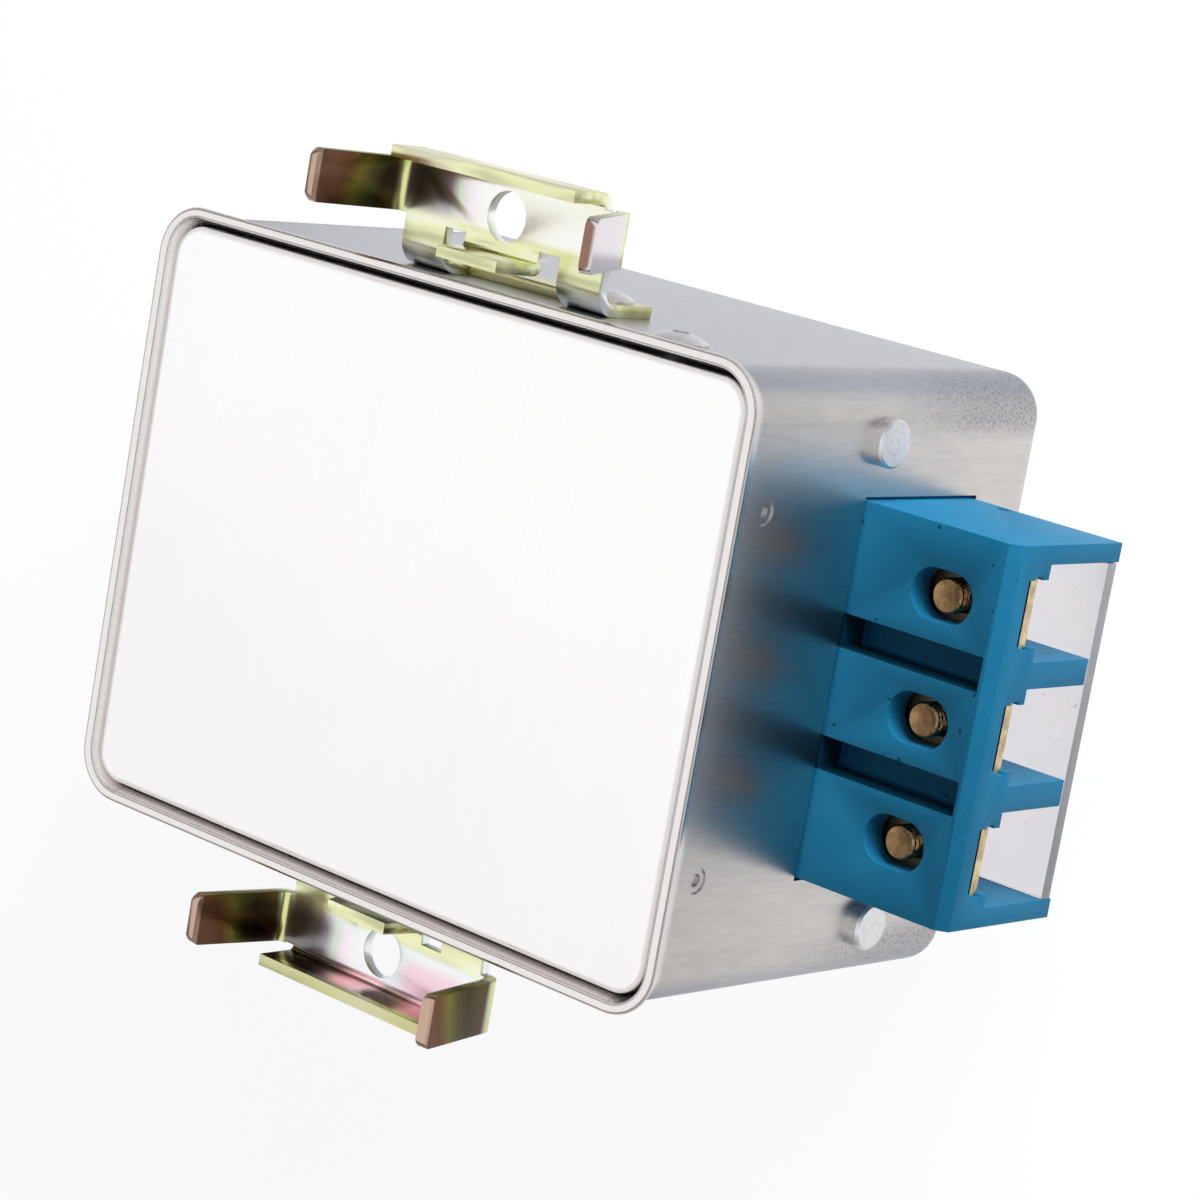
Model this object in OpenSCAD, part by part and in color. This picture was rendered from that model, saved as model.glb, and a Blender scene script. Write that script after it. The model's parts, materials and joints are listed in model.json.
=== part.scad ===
// Single-phase line filter in a drawn steel case, with rail clips and two terminal blocks.
// The closed face of the case lies on Z = 0 and the base plate faces +Z.
// +X points to the line-side terminal block. Both ends are alike, turned half a turn.

/* [Case] */
// Length of the drawn case over its straight walls
case_l = 91.4; // [86:0.2:130]
// Width of the drawn case over its straight walls
case_w = 71; // [70:0.2:110]
// Height from the closed face to the crown of the mouth bead
case_h = 55.5; // [52:0.5:80]
// Thickness of the case sheet
case_wall = 0.8; // [0.5:0.1:1.2]
// Outer radius of the four upright corners
corner_r = 5; // [4.5:0.5:9]
// Outer radius of the edge round the closed face
foot_r = 3; // [1.5:0.5:3.5]
// Thickness of the rounded bead on the mouth
bead_t = 1.3; // [1:0.1:1.8]
// How far the bead stands out past the walls
bead_out = 1.1; // [0.6:0.1:1.5]
// Height of the flared band under the bead
flare_h = 1.6; // [1:0.1:3]

/* [Base plate] */
// Thickness of the base plate sheet
tray_t = 0.8; // [0.5:0.1:1.2]
// Gap between the base plate's skirt and the case wall
tray_gap = 0.3; // [0.2:0.05:0.4]
// Depth of the base plate's face below the bead's crown
tray_drop = 0.5; // [0:0.1:1.5]
// Height of the base plate's skirt
tray_skirt = 10; // [9:0.5:11]
// Outer bend radius of the base plate's edge
tray_bend_r = 1.2; // [1:0.1:1.6]
// Diameter of the staked dents that hold the skirt
stake_d = 3; // [2:0.1:4]
// Depth of the stakes' centres below the crown
stake_drop = 6.2; // [5.5:0.1:7]
// Distance between the two stakes of one end
stake_pitch = 41.2; // [30:0.2:50]

/* [Rail clips] */
// Thickness of the clip sheet
clip_t = 1.4; // [1:0.1:1.6]
// Length of the clip over its two tabs at their roots
clip_l = 36.2; // [34:0.2:44]
// Length of the clip across its two legs
leg_span = 31; // [29:0.2:32]
// Distance from the case wall to the inside of the outer lip
clip_reach = 12.4; // [12:0.2:16]
// Depth of the clip's plate below the crown
clip_drop = 8.5; // [8:0.1:11]
// Height of the flange on the case wall, from the plate's face
flange_h = 9.6; // [9.4:0.1:12]
// Inner radius of the bend between flange and plate
leg_bend_r = 1.5; // [1:0.1:1.8]
// Length of the outer lip
lip_l = 28.6; // [24:0.2:29]
// Height of the outer lip over the plate
lip_h = 5.4; // [3:0.1:8]
// Height of the end tabs over the plate
tab_h = 13; // [8:0.5:16]
// Width of the end tabs
tab_w = 6.2; // [4:0.1:6.4]
// Angle by which a tab leans outwards
tab_lean = 9; // [0:1:20]
// Angle of the one tab that is bent further out
bent_tab_lean = 25; // [0:1:30]
// Diameter of the hole in each clip
clip_hole_d = 5.9; // [4:0.1:6.4]
// Distance from the case wall to the centre of the hole
clip_hole_reach = 8.3; // [8.1:0.1:9]
// Width of the window between the legs
window_w = 18; // [15:0.2:18.4]
// Width of the tongue at its root
tongue_w = 11.6; // [8:0.2:12.4]
// Width of the tongue at its tip
tongue_tip_w = 9.4; // [6:0.2:11]
// Height of the tongue over the plate
tongue_h = 5.6; // [3:0.1:8]

/* [Terminal blocks] */
// Distance between neighbouring terminals
pitch = 14; // [13.4:0.1:15]
// How far a block stands out of the case wall
block_out = 20.7; // [19.5:0.1:28]
// Height of a block
block_h = 20; // [19:0.5:24]
// Depth of a block's upper face below the crown
block_drop = 24; // [22.5:0.5:25.5]
// Thickness of the barriers between the cells
barrier_t = 3; // [2:0.1:3.6]
// Thickness of a block's end walls
end_wall_t = 2.2; // [1.6:0.1:3]
// Gap between a block and its cut-out in the case
cut_gap = 0.4; // [0.2:0.05:0.6]
// Width of the slots between the cells on the upper face
core_slot_w = 3.7; // [2:0.1:4]
// Depth of the slots between the cells
core_slot_d = 5.2; // [2:0.1:5.8]
// Length of the screw windows on the upper face
window_l = 8.3; // [6:0.1:9]
// Diameter of the round ends of the screw windows
window_d = 5.8; // [5:0.1:6.6]
// Diameter of the terminal screws
screw_d = 4; // [3.5:0.1:4.4]
// Thickness of the terminal plates
terminal_t = 1.2; // [0.8:0.1:1.3]
// Width of the terminal plates
terminal_w = 8.2; // [7.8:0.1:8.6]
// Thickness of the clear cover
cover_t = 1.6; // [1:0.1:1.8]

/* [Filter parts] */
// Middle radius of the choke's ring core
core_mid_r = 13; // [11:0.2:13.6]
// Radial width of the ring core
core_w = 7.5; // [5:0.1:8]
// Height of the ring core
core_h = 14; // [8:0.5:16]
// Diameter of the winding wire
wire_d = 1.6; // [1:0.1:1.8]
// Turns in each of the two windings
turns = 9; // [6:1:10]
// Thickness of the circuit board
board_t = 1.6; // [1:0.1:2]
// Height of the spacers under the board
spacer_h = 5.2; // [4:0.1:6]

/* [Hidden] */

$fn = 48;
// Overlap used only where a cut passes a face
eps = 0.5;
// Running gap between pieces that are put together without pressing
fit = 0.05;

// Case
half_l = case_l / 2;
half_w = case_w / 2;
bead_r = bead_t / 2;
bead_mid = bead_out - bead_r;

// Base plate
tray_inset = case_wall + tray_gap;
tray_l = case_l - 2 * tray_inset;
tray_w = case_w - 2 * tray_inset;
tray_corner_r = corner_r - tray_inset;
tray_z = case_h - tray_drop;
stake_z = case_h - stake_drop;
stake_in = tray_gap + tray_t / 2;

// Clips: the plate's face is at clip_z, and reach is measured from the wall
clip_z = case_h - clip_drop;
leg_bend_out = leg_bend_r + clip_t;
lip_bend_r = 0.5;
tab_bend_r = 0.8;
tab_tip_r = 1.6;
tab_tip_in = tab_tip_r - 0.1;
tongue_bend_r = 0.5;
tongue_reach = 4;
notch_reach = 5.4;
window_h = 5.2;
tab_root = 5.9;
clip_rivet_x = 11.8;
clip_rivet_z = clip_z - 6.6;
clip_rivet_d = 3.2;
clip_rivet_head = [2.7, 1.15];

// Rivets
plate_rivet_x = 28.5;
plate_rivet_z = case_h - 8;
plate_rivet_d = 3.2;
plate_rivet_head = [3.3, 1.2];
plate_rivet_dimple_r = 1;
plate_rivet_dimple_z = 0.3;
block_rivet_y = 28.4;
block_rivet_d = 3.2;
block_rivet_head = [2.8, 1.7];
block_rivet_high = 1.1;
block_rivet_low = 13.9;
set_head_h = 0.8;
set_head_over = 0.7;
dome_rim = 0.25;

// Terminal blocks: x runs outwards from the case wall, and levels are below the upper face
block_top = case_h - block_drop;
block_bottom = block_top - block_h;
block_w = 3 * pitch - barrier_t + 2 * end_wall_t;
cell_w = pitch - barrier_t;
cell_back = 2.4;
block_flange_t = 2.2;
block_flange_w = 2 * block_rivet_y + 8;
block_flange_over = 1.5;
channel_w = 7.6;
terminal_level = 4.6;
under_gap = 1.2;
shoulder_level = 7;
cover_seat = 0.4;
cover_level = block_h - cover_seat - cover_t;
cover_gap = 0.1;
cover_nib_d = 1.4;
cover_nib_x = 5;
screw_x = 12.1;
screw_tip_level = 1;
washer_side = 7.2;
washer_t = 1;
head_d = 7;
head_h = 2.6;
terminal_end = 0.6;
terminal_tail = 8;
core_slot_end = 1.7;
edge_chamfer = 1.2;

// Inner parts
floor_z = case_wall;
board_z = floor_z + spacer_h;
board_top = board_z + board_t;
board_gap_x = 6.7;
board_gap_y = 5.5;
board_l = case_l - 2 * board_gap_x;
board_w = case_w - 2 * board_gap_y;
spacer_in = 4;
spacer_x = board_l / 2 - spacer_in;
spacer_y = board_w / 2 - spacer_in;
spacer_d = 5;
spacer_pin_d = 2.8;
choke_base_t = 1.6;
wrap_gap = 0.5;
core_edge_r = 2;
core_z = board_top + choke_base_t + fit + wire_d + wrap_gap + core_h / 2;
x_cap = [10, 26, 18];
y_cap_d = 9;
y_cap_t = 4;
lead_d = 0.8;
lead_wire_d = 2.4;
wire_in = 3.8;
wire_x = board_l / 2 - wire_in;
wire_start = 2;
wire_bend = 4;
x_cap_gap = 2.5;
x_cap_x = wire_x - lead_wire_d / 2 - x_cap_gap - x_cap.x / 2;
wire_drop = 6;
edge_part_y = board_w / 2 - 5;
y_cap_x = 9;
y_cap_lift = 3;
lead_in = 1.5;
lead_rise = 4;
spacer_pin_out = 1;
tag_r = 3.3;
tag_neck = 3;
tag_barrel = 1.5;
tag_barrel_l = 5;
tag_reach = 7;
tag_t = 0.8;

function unit(v) = v / norm(v);

// Direction of a path at point i
function heading(path, i) = unit(path[min(i + 1, len(path) - 1)] - path[max(i - 1, 0)]);

// Part of n that is square to the direction t
function square_to(n, t) = unit(n - (n * t) * t);

// A point on the quadratic curve from a over b to c
function bend_point(a, b, c, s) = (1 - s) * (1 - s) * a + 2 * s * (1 - s) * b + s * s * c;

// A closed round tube along a path
module tube(path, d, sides = 8) {
    count = len(path);
    start = abs(heading(path, 0).z) > 0.9 ? [1, 0, 0] : [0, 0, 1];
    normals = [
        for (i = 0, n = square_to(start, heading(path, 0)); i < count;
             i = i + 1, n = square_to(n, heading(path, min(i, count - 1)))) n];
    rings = [
        for (i = [0:count - 1], k = [0:sides - 1])
            path[i] + d / 2 * (cos(360 * k / sides) * normals[i]
                + sin(360 * k / sides) * cross(heading(path, i), normals[i]))];
    walls = [
        for (i = [0:count - 2], k = [0:sides - 1])
            [i * sides + k, (i + 1) * sides + k,
             (i + 1) * sides + (k + 1) % sides, i * sides + (k + 1) % sides]];
    caps = [[for (k = [0:sides - 1]) k],
            [for (k = [sides - 1:-1:0]) (count - 1) * sides + k]];
    polyhedron(rings, concat(walls, caps));
}

// Flat plate with four round corners
module round_plate(l, w, r, h) {
    linear_extrude(h) {
        square([l - 2 * r, w], center = true);
        square([l, w - 2 * r], center = true);
        for (x = [-1, 1], y = [-1, 1])
            translate([x * (l / 2 - r), y * (w / 2 - r)]) circle(r);
    }
}

// A section swept round a rectangle with round corners.
// The section's own x runs outwards from the wall's outer face, and its y is the height.
module swept_wall(l, w, r) {
    for (a = [0, 180])
        rotate([0, 0, a]) {
            translate([l / 2 - r, w / 2 - r]) rotate_extrude(angle = 90) translate([r, 0]) children();
            translate([r - l / 2, w / 2 - r]) rotate([0, 0, 90])
                rotate_extrude(angle = 90) translate([r, 0]) children();
            rotate([90, 0, 0]) linear_extrude(w - 2 * r, center = true) translate([l / 2, 0]) children();
            rotate([90, 0, 90]) linear_extrude(l - 2 * r, center = true) translate([w / 2, 0]) children();
        }
}

// Both ends of the filter: the line side at +X, and the load side turned half a turn
module line_side() {
    translate([half_l, 0, 0]) children();
}

module load_side() {
    rotate([0, 0, 180]) line_side() children();
}

module both_sides() {
    line_side() children();
    load_side() children();
}

// Both long walls, with y running outwards from the wall's outer face
module upper_wall() {
    translate([0, half_w, 0]) children();
}

module lower_wall() {
    rotate([0, 0, 180]) upper_wall() children();
}

module both_walls() {
    upper_wall() children();
    lower_wall() children();
}

// A round hole through a side wall, its axis along y
module wall_hole(x, z, d, depth) {
    translate([x, eps, z]) rotate([90, 0, 0]) cylinder(d = d, h = depth + eps);
}

// Section of the case wall: foot bend, straight wall, flare and bead
module case_section() {
    difference() {
        translate([-foot_r, foot_r]) circle(foot_r);
        translate([-foot_r, foot_r]) circle(foot_r - case_wall);
        translate([-3 * foot_r, 0]) square([2 * foot_r, 3 * foot_r]);
        translate([-3 * foot_r, foot_r]) square([4 * foot_r, 2 * foot_r]);
    }
    flare_z = case_h - bead_r - flare_h;
    translate([-case_wall, foot_r]) square([case_wall, flare_z - foot_r]);
    polygon([
        [-case_wall, flare_z], [0, flare_z],
        [bead_out, case_h - bead_r], [bead_out - bead_t, case_h - bead_r]]);
    translate([bead_mid, case_h - bead_r]) circle(bead_r);
}

module case() {
    color("silver") {
        difference() {
            union() {
                swept_wall(case_l, case_w, corner_r) case_section();
                round_plate(case_l - 2 * foot_r, case_w - 2 * foot_r, corner_r - foot_r, case_wall);
            }
            both_sides() {
                block_cut_out();
                block_rivet_places() rotate([0, -90, 0])
                    translate([0, 0, -eps]) cylinder(d = block_rivet_d + 2 * fit, h = case_wall + 2 * eps);
                for (y = [-1, 1]) translate([0, y * stake_pitch / 2, stake_z]) stake_dent();
            }
            both_walls() {
                for (x = [-1, 1])
                    wall_hole(x * clip_rivet_x, clip_rivet_z, clip_rivet_d + 2 * fit, case_wall + eps);
                wall_hole(plate_rivet_x, plate_rivet_z, plate_rivet_d + 2 * fit, case_wall + eps);
            }
        }
        both_sides() for (y = [-1, 1])
            translate([0, y * stake_pitch / 2, stake_z]) stake_nib();
    }
}

// The punch mark of a stake in the outer face, and the nib that it raises inside
module stake_dent() {
    rotate([0, -90, 0]) {
        translate([0, 0, -eps]) cylinder(d = stake_d, h = eps + case_wall / 4);
        cylinder(d = stake_d / 2, h = case_wall * 0.7);
    }
}

module stake_nib() {
    translate([-case_wall, 0, 0]) rotate([0, -90, 0]) cylinder(d = stake_d * 0.8, h = stake_in);
}

module block_cut_out() {
    w = block_w + 2 * cut_gap;
    translate([-case_wall - eps, -w / 2, block_bottom - cut_gap])
        cube([case_wall + 2 * eps, w, block_h + 2 * cut_gap]);
}

// Base plate: a shallow tray, face outwards, that nests in the mouth
module tray_section() {
    intersection() {
        difference() {
            translate([-tray_bend_r, tray_z - tray_bend_r]) circle(tray_bend_r);
            translate([-tray_bend_r, tray_z - tray_bend_r]) circle(tray_bend_r - tray_t);
        }
        translate([-tray_bend_r, tray_z - tray_bend_r]) square(tray_bend_r);
    }
    translate([-tray_t, tray_z - tray_skirt]) square([tray_t, tray_skirt - tray_bend_r]);
}

module base_plate() {
    color("gainsboro") difference() {
        union() {
            swept_wall(tray_l, tray_w, tray_corner_r) tray_section();
            translate([0, 0, tray_z - tray_t])
                round_plate(tray_l - 2 * tray_bend_r, tray_w - 2 * tray_bend_r,
                    tray_corner_r - tray_bend_r, tray_t);
        }
        both_sides() for (y = [-1, 1])
            translate([-case_wall, y * stake_pitch / 2, stake_z]) rotate([0, -90, 0])
                cylinder(d = stake_d * 0.8 + 2 * fit, h = tray_gap + tray_t + eps);
        both_walls()
            wall_hole(plate_rivet_x, plate_rivet_z, plate_rivet_d + 2 * fit, tray_inset + tray_t + eps);
    }
}

// A sheet bend whose axis lies along y: it starts under the axis and turns up towards +x
module sheet_bend(r_in, t, w, angle) {
    rotate([90, 0, 0]) rotate([0, 0, -90]) rotate_extrude(angle = angle)
        translate([r_in, -w / 2]) square([t, w]);
}

// Points of an arc about the origin
function arc(r, from, to, steps = 9) =
    [for (i = [0:steps]) r * [cos(from + (to - from) * i / steps), sin(from + (to - from) * i / steps)]];

// End tab of a clip, bent up from the plate and leaning outwards
module clip_tab(lean) {
    root_x = clip_l / 2 - clip_t - tab_bend_r;
    rise = tab_h - tab_bend_r;
    up = [sin(lean), cos(lean)];
    outer = arc(tab_bend_r + clip_t, -90, -lean);
    inner = arc(tab_bend_r, -lean, -90);
    section = concat(outer, [outer[len(outer) - 1] + rise * up, inner[0] + rise * up], inner);
    translate([root_x, tab_root + tab_w / 2, tab_bend_r]) difference() {
        rotate([90, 0, 0]) linear_extrude(tab_w, center = true) polygon(section);
        for (side = [0, 1])
            mirror([0, side, 0]) rotate([0, lean, 0])
                translate([tab_bend_r, tab_w / 2 - tab_tip_in, rise - tab_tip_in]) tip_corner();
    }
}

// What is cut off a corner of a tab's tip: all that lies past its round edge
module tip_corner() {
    side = tab_tip_r + eps;
    difference() {
        translate([-eps, 0, 0]) cube([clip_t + 2 * eps, side, side]);
        translate([-2 * eps, 0, 0]) rotate([0, 90, 0]) cylinder(r = tab_tip_r, h = clip_t + 4 * eps);
    }
}

// Section of the clip's flange, leg bend and plate, with x outwards from the wall
module clip_section() {
    translate([0, -flange_h]) square([clip_t, flange_h - leg_bend_out]);
    intersection() {
        difference() {
            translate([leg_bend_out, -leg_bend_out]) circle(leg_bend_out);
            translate([leg_bend_out, -leg_bend_out]) circle(leg_bend_r);
        }
        translate([0, -leg_bend_out]) square(leg_bend_out);
    }
    translate([leg_bend_out, -clip_t]) square([tab_root - leg_bend_out, clip_t]);
}

// The outer lip, bent up along the plate's far edge
module clip_lip() {
    reach = clip_reach - lip_bend_r;
    translate([0, reach, lip_bend_r]) rotate([0, 0, 90]) sheet_bend(lip_bend_r, clip_t, lip_l, 90);
    translate([-lip_l / 2, clip_reach, lip_bend_r]) cube([lip_l, clip_t, lip_h - lip_bend_r]);
}

// The tongue cut out of the leg bend and turned up between the two notches
module clip_tongue() {
    translate([0, tongue_reach + tongue_bend_r, tongue_bend_r]) rotate([0, 0, -90])
        sheet_bend(tongue_bend_r, clip_t, tongue_w, 90);
    translate([0, tongue_reach, tongue_bend_r]) rotate([90, 0, 0]) linear_extrude(clip_t)
        polygon([
            [-tongue_w / 2, 0], [tongue_w / 2, 0],
            [tongue_tip_w / 2, tongue_h - tongue_bend_r], [-tongue_tip_w / 2, tongue_h - tongue_bend_r]]);
}

// A whole clip: x along the case, y outwards from the wall, z = 0 on the plate's upper face
module clip(left_lean, right_lean) {
    plate_x = clip_l / 2 - clip_t - tab_bend_r;
    edge_y = clip_reach - lip_bend_r;
    difference() {
        union() {
            rotate([90, 0, 90]) linear_extrude(leg_span, center = true) clip_section();
            translate([-plate_x, tab_root, -clip_t]) cube([2 * plate_x, edge_y - tab_root, clip_t]);
        }
        translate([-window_w / 2, -eps, -window_h])
            cube([window_w, notch_reach + eps, window_h + eps]);
        translate([0, clip_hole_reach, -clip_t - eps]) cylinder(d = clip_hole_d, h = clip_t + 2 * eps);
        for (x = [-1, 1]) translate([x * clip_rivet_x, 0, clip_rivet_z - clip_z]) rotate([-90, 0, 0])
            translate([0, 0, -eps]) cylinder(d = clip_rivet_d + 2 * fit, h = clip_t + 2 * eps);
    }
    translate([-tongue_w / 2, tongue_reach + tongue_bend_r, -clip_t])
        cube([tongue_w, notch_reach - tongue_reach - tongue_bend_r, clip_t]);
    clip_tongue();
    clip_lip();
    clip_tab(right_lean);
    mirror([1, 0, 0]) clip_tab(left_lean);
}

module upper_clip() {
    color("khaki") upper_wall() translate([0, 0, clip_z]) clip(tab_lean, bent_tab_lean);
}

module lower_clip() {
    color("khaki") lower_wall() translate([0, 0, clip_z]) clip(tab_lean, tab_lean);
}

// Rivet along z: its head, given as [radius, height], starts at z = 0, its shank goes down,
// and a set head closes it
module rivet(shank_d, grip, head, domed) {
    translate([0, 0, -grip]) cylinder(d = shank_d, h = grip);
    translate([0, 0, -grip - set_head_h]) cylinder(r = shank_d / 2 + set_head_over, h = set_head_h);
    if (domed) dome(head[0], head[1]);
    else flat_head(head[0], head[1]);
}

// A low dome of the given radius and height on a short upright rim
module dome(r, h) {
    rise = h - dome_rim;
    ball = (r * r + rise * rise) / (2 * rise);
    rotate_extrude() intersection() {
        translate([0, h - ball]) circle(ball, $fn = 96);
        square([r, h]);
    }
}

module flat_head(r, h) {
    edge = 0.3;
    cylinder(r = r, h = h - edge);
    translate([0, 0, h - edge]) cylinder(r1 = r, r2 = r - edge, h = edge);
}

module clip_rivets() {
    color("lightgray") both_walls() for (x = [-1, 1])
        translate([x * clip_rivet_x, clip_t, clip_rivet_z]) rotate([-90, 0, 0])
            rivet(clip_rivet_d, clip_t + case_wall, clip_rivet_head, true);
}

module plate_rivets() {
    grip = tray_inset + tray_t + tag_t;
    color("lightgray") both_walls() translate([plate_rivet_x, 0, plate_rivet_z]) rotate([-90, 0, 0])
        difference() {
            rivet(plate_rivet_d, grip, plate_rivet_head, true);
            translate([0, 0, plate_rivet_dimple_z])
                cylinder(r = plate_rivet_dimple_r, h = plate_rivet_head[1]);
        }
}

module block_rivet_places() {
    translate([0, block_rivet_y, block_top - block_rivet_high]) children();
    translate([0, -block_rivet_y, block_top - block_rivet_low]) children();
}

module block_rivets() {
    color("lightgray") both_sides() block_rivet_places() rotate([0, 90, 0])
        rivet(block_rivet_d, case_wall + fit + block_flange_t, block_rivet_head, false);
}

// Box given by x range, y centre, width and two levels below the block's upper face
module block_box(x0, x1, y, w, from, to) {
    translate([x0, y - w / 2, block_top - to]) cube([x1 - x0, w, to - from]);
}

// Places of the three terminals of a block
module terminal_places() {
    for (i = [-1:1]) translate([0, i * pitch, 0]) children();
}

// Flange of a block behind the case wall, bevelled to clear the case's round corners
module block_flange() {
    outer_x = -case_wall - fit;
    half = block_flange_w / 2;
    translate([0, 0, block_bottom - block_flange_over])
        linear_extrude(block_h + 2 * block_flange_over)
            polygon([
                [outer_x, block_flange_t - half], [outer_x, half - block_flange_t],
                [outer_x - block_flange_t, half], [outer_x - block_flange_t, -half]]);
}

// Moulded body of a block, with x outwards from the case wall
module block_body() {
    difference() {
        union() {
            translate([0, block_w / 2, block_top]) rotate([90, 0, 0]) linear_extrude(block_w)
                polygon([
                    [-case_wall - fit, 0], [block_out - edge_chamfer, 0], [block_out, -edge_chamfer],
                    [block_out, -block_h], [-case_wall - fit, -block_h]]);
            block_flange();
        }
        terminal_places() {
            block_box(cell_back, block_out + eps, 0, cell_w, shoulder_level, block_h + eps);
            block_box(cell_back, block_out + eps, 0, channel_w, terminal_level - under_gap,
                shoulder_level + eps);
            block_box(-case_wall - block_flange_t - eps, block_out + eps, 0, terminal_w + 2 * fit,
                terminal_level - fit, terminal_level + terminal_t + fit);
            screw_window();
        }
        for (y = [-1, 1])
            block_box(0, block_out - core_slot_end, y * pitch / 2, core_slot_w, -eps, core_slot_d);
        block_box(fit, block_out + eps, 0, block_w - 2 * end_wall_t, cover_level - cover_gap,
            block_h + eps);
        for (y = [-1, 1]) translate([cover_nib_x, y * block_w / 2, block_top - cover_level - cover_t / 2])
            rotate([90, 0, 0]) cylinder(d = cover_nib_d + 2 * fit, h = 3 * end_wall_t, center = true);
        block_rivet_places() rotate([0, -90, 0]) translate([0, 0, case_wall - eps])
            cylinder(d = block_rivet_d + 2 * fit, h = block_flange_t + fit + 2 * eps);
    }
}

// The long window over a screw's tip
module screw_window() {
    travel = (window_l - window_d) / 2;
    depth = terminal_level + eps;
    translate([screw_x, 0, block_top - terminal_level + fit]) {
        for (x = [-1, 1]) translate([x * travel, 0, 0]) cylinder(d = window_d, h = depth);
        translate([-travel, -window_d / 2, 0]) cube([2 * travel, window_d, depth]);
    }
}

module line_block() {
    color("steelblue") line_side() block_body();
}

module load_block() {
    color("steelblue") load_side() block_body();
}

// Clear cover that snaps between a block's end walls
module cover() {
    w = block_w - 2 * end_wall_t - 2 * cover_gap;
    block_box(2 * cover_gap, block_out, 0, w, cover_level, cover_level + cover_t);
    for (y = [-1, 1])
        translate([cover_nib_x, y * (w / 2 + cover_gap), block_top - cover_level - cover_t / 2])
            rotate([90, 0, 0]) cylinder(d = cover_nib_d, h = end_wall_t, center = true);
}

module line_cover() {
    color("lightblue", 0.4) line_side() cover();
}

module load_cover() {
    color("lightblue", 0.4) load_side() cover();
}

// Terminal plates, from the block's end to the tails inside the case
module terminals() {
    terminal_places() difference() {
        block_box(-terminal_tail, block_out - terminal_end, 0, terminal_w,
            terminal_level, terminal_level + terminal_t);
        translate([screw_x, 0, block_top - terminal_level - terminal_t - eps])
            cylinder(d = screw_d + 2 * fit, h = terminal_t + 2 * eps);
    }
}

module line_terminals() {
    color("burlywood") line_side() terminals();
}

module load_terminals() {
    color("burlywood") load_side() terminals();
}

// Terminal screws, heads down under the cover, tips up in the windows
module screws() {
    under_head = terminal_level + terminal_t + washer_t + fit;
    tip = 0.35;
    terminal_places() translate([screw_x, 0, block_top]) difference() {
        union() {
            translate([0, 0, -under_head]) cylinder(d = screw_d, h = under_head - screw_tip_level - tip);
            translate([0, 0, -screw_tip_level - tip])
                cylinder(d1 = screw_d, d2 = screw_d - 2 * tip, h = tip);
            translate([0, 0, -under_head - head_h]) cylinder(d = head_d, h = head_h);
        }
        for (a = [0, 90]) rotate([0, 0, a]) translate([-head_d / 3, -0.4, -under_head - head_h - eps])
            cube([head_d / 1.5, 0.8, eps + head_h / 2]);
    }
}

module line_screws() {
    color("darkgoldenrod") line_side() screws();
}

module load_screws() {
    color("darkgoldenrod") load_side() screws();
}

// Square clamping washers under the screw heads
module washers() {
    level = terminal_level + terminal_t + fit / 2;
    terminal_places() difference() {
        block_box(screw_x - washer_side / 2, screw_x + washer_side / 2, 0, washer_side, level,
            level + washer_t);
        translate([screw_x, 0, block_top - level - washer_t - eps])
            cylinder(d = screw_d + 4 * fit, h = washer_t + 2 * eps);
    }
}

module line_washers() {
    color("silver") line_side() washers();
}

module load_washers() {
    color("silver") load_side() washers();
}

// Circuit board with holes for its spacers
module circuit_board() {
    color("darkgreen") difference() {
        translate([0, 0, board_z]) round_plate(board_l, board_w, 2, board_t);
        spacer_places() translate([0, 0, board_z - eps])
            cylinder(d = spacer_pin_d + 2 * fit, h = board_t + 2 * eps);
    }
}

module spacer_places() {
    for (x = [-1, 1], y = [-1, 1]) translate([x * spacer_x, y * spacer_y, 0]) children();
}

module board_spacers() {
    color("white") spacer_places() {
        translate([0, 0, floor_z]) cylinder(d = spacer_d, h = spacer_h);
        translate([0, 0, board_z]) cylinder(d = spacer_pin_d, h = board_t + spacer_pin_out);
    }
}

// Ring core of the common-mode choke
module choke_core() {
    r = core_edge_r;
    color("dimgray") translate([0, 0, core_z]) rotate_extrude() translate([core_mid_r, 0]) {
        square([core_w - 2 * r, core_h], center = true);
        square([core_w, core_h - 2 * r], center = true);
        for (x = [-1, 1], y = [-1, 1])
            translate([x * (core_w / 2 - r), y * (core_h / 2 - r)]) circle(r, $fn = 24);
    }
}

// Base disc of the choke with the divider that parts the two windings
module choke_base() {
    divider_l = 2 * (core_mid_r - core_w / 2 - wrap_gap);
    color("ivory") {
        translate([0, 0, board_top]) cylinder(r = core_mid_r + core_w / 2, h = choke_base_t);
        translate([-0.6, -divider_l / 2, board_top]) cube([1.2, divider_l, core_z + core_h / 2 - board_top]);
    }
}

// A winding round one half of the core, with both ends led down to the board
module winding() {
    steps = 16;
    half_span = 68;
    squareness = 0.4;
    a = core_w / 2 + wrap_gap + wire_d / 2;
    b = core_h / 2 + wrap_gap + wire_d / 2;
    lead_r = core_mid_r + core_w / 2 + wire_d + 1;
    function on_core(turn) =
        let (along = -half_span + 2 * half_span * turn / turns,
             c = cos(360 * turn),
             s = -sin(360 * turn),
             r = core_mid_r + a * sign(c) * pow(abs(c), squareness))
        [r * cos(along), r * sin(along), core_z + b * sign(s) * pow(abs(s), squareness)];
    function foot(side, z) = [lead_r * cos(half_span), side * lead_r * sin(half_span), z];
    path = concat(
        [foot(-1, board_top + fit), foot(-1, board_top + lead_rise)],
        [for (i = [1:turns * steps - 1]) on_core(i / steps)],
        [foot(1, board_top + lead_rise), foot(1, board_top + fit)]);
    tube(path, wire_d);
}

module line_winding() {
    color("peru") winding();
}

module neutral_winding() {
    color("peru") rotate([0, 0, 180]) winding();
}

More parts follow.
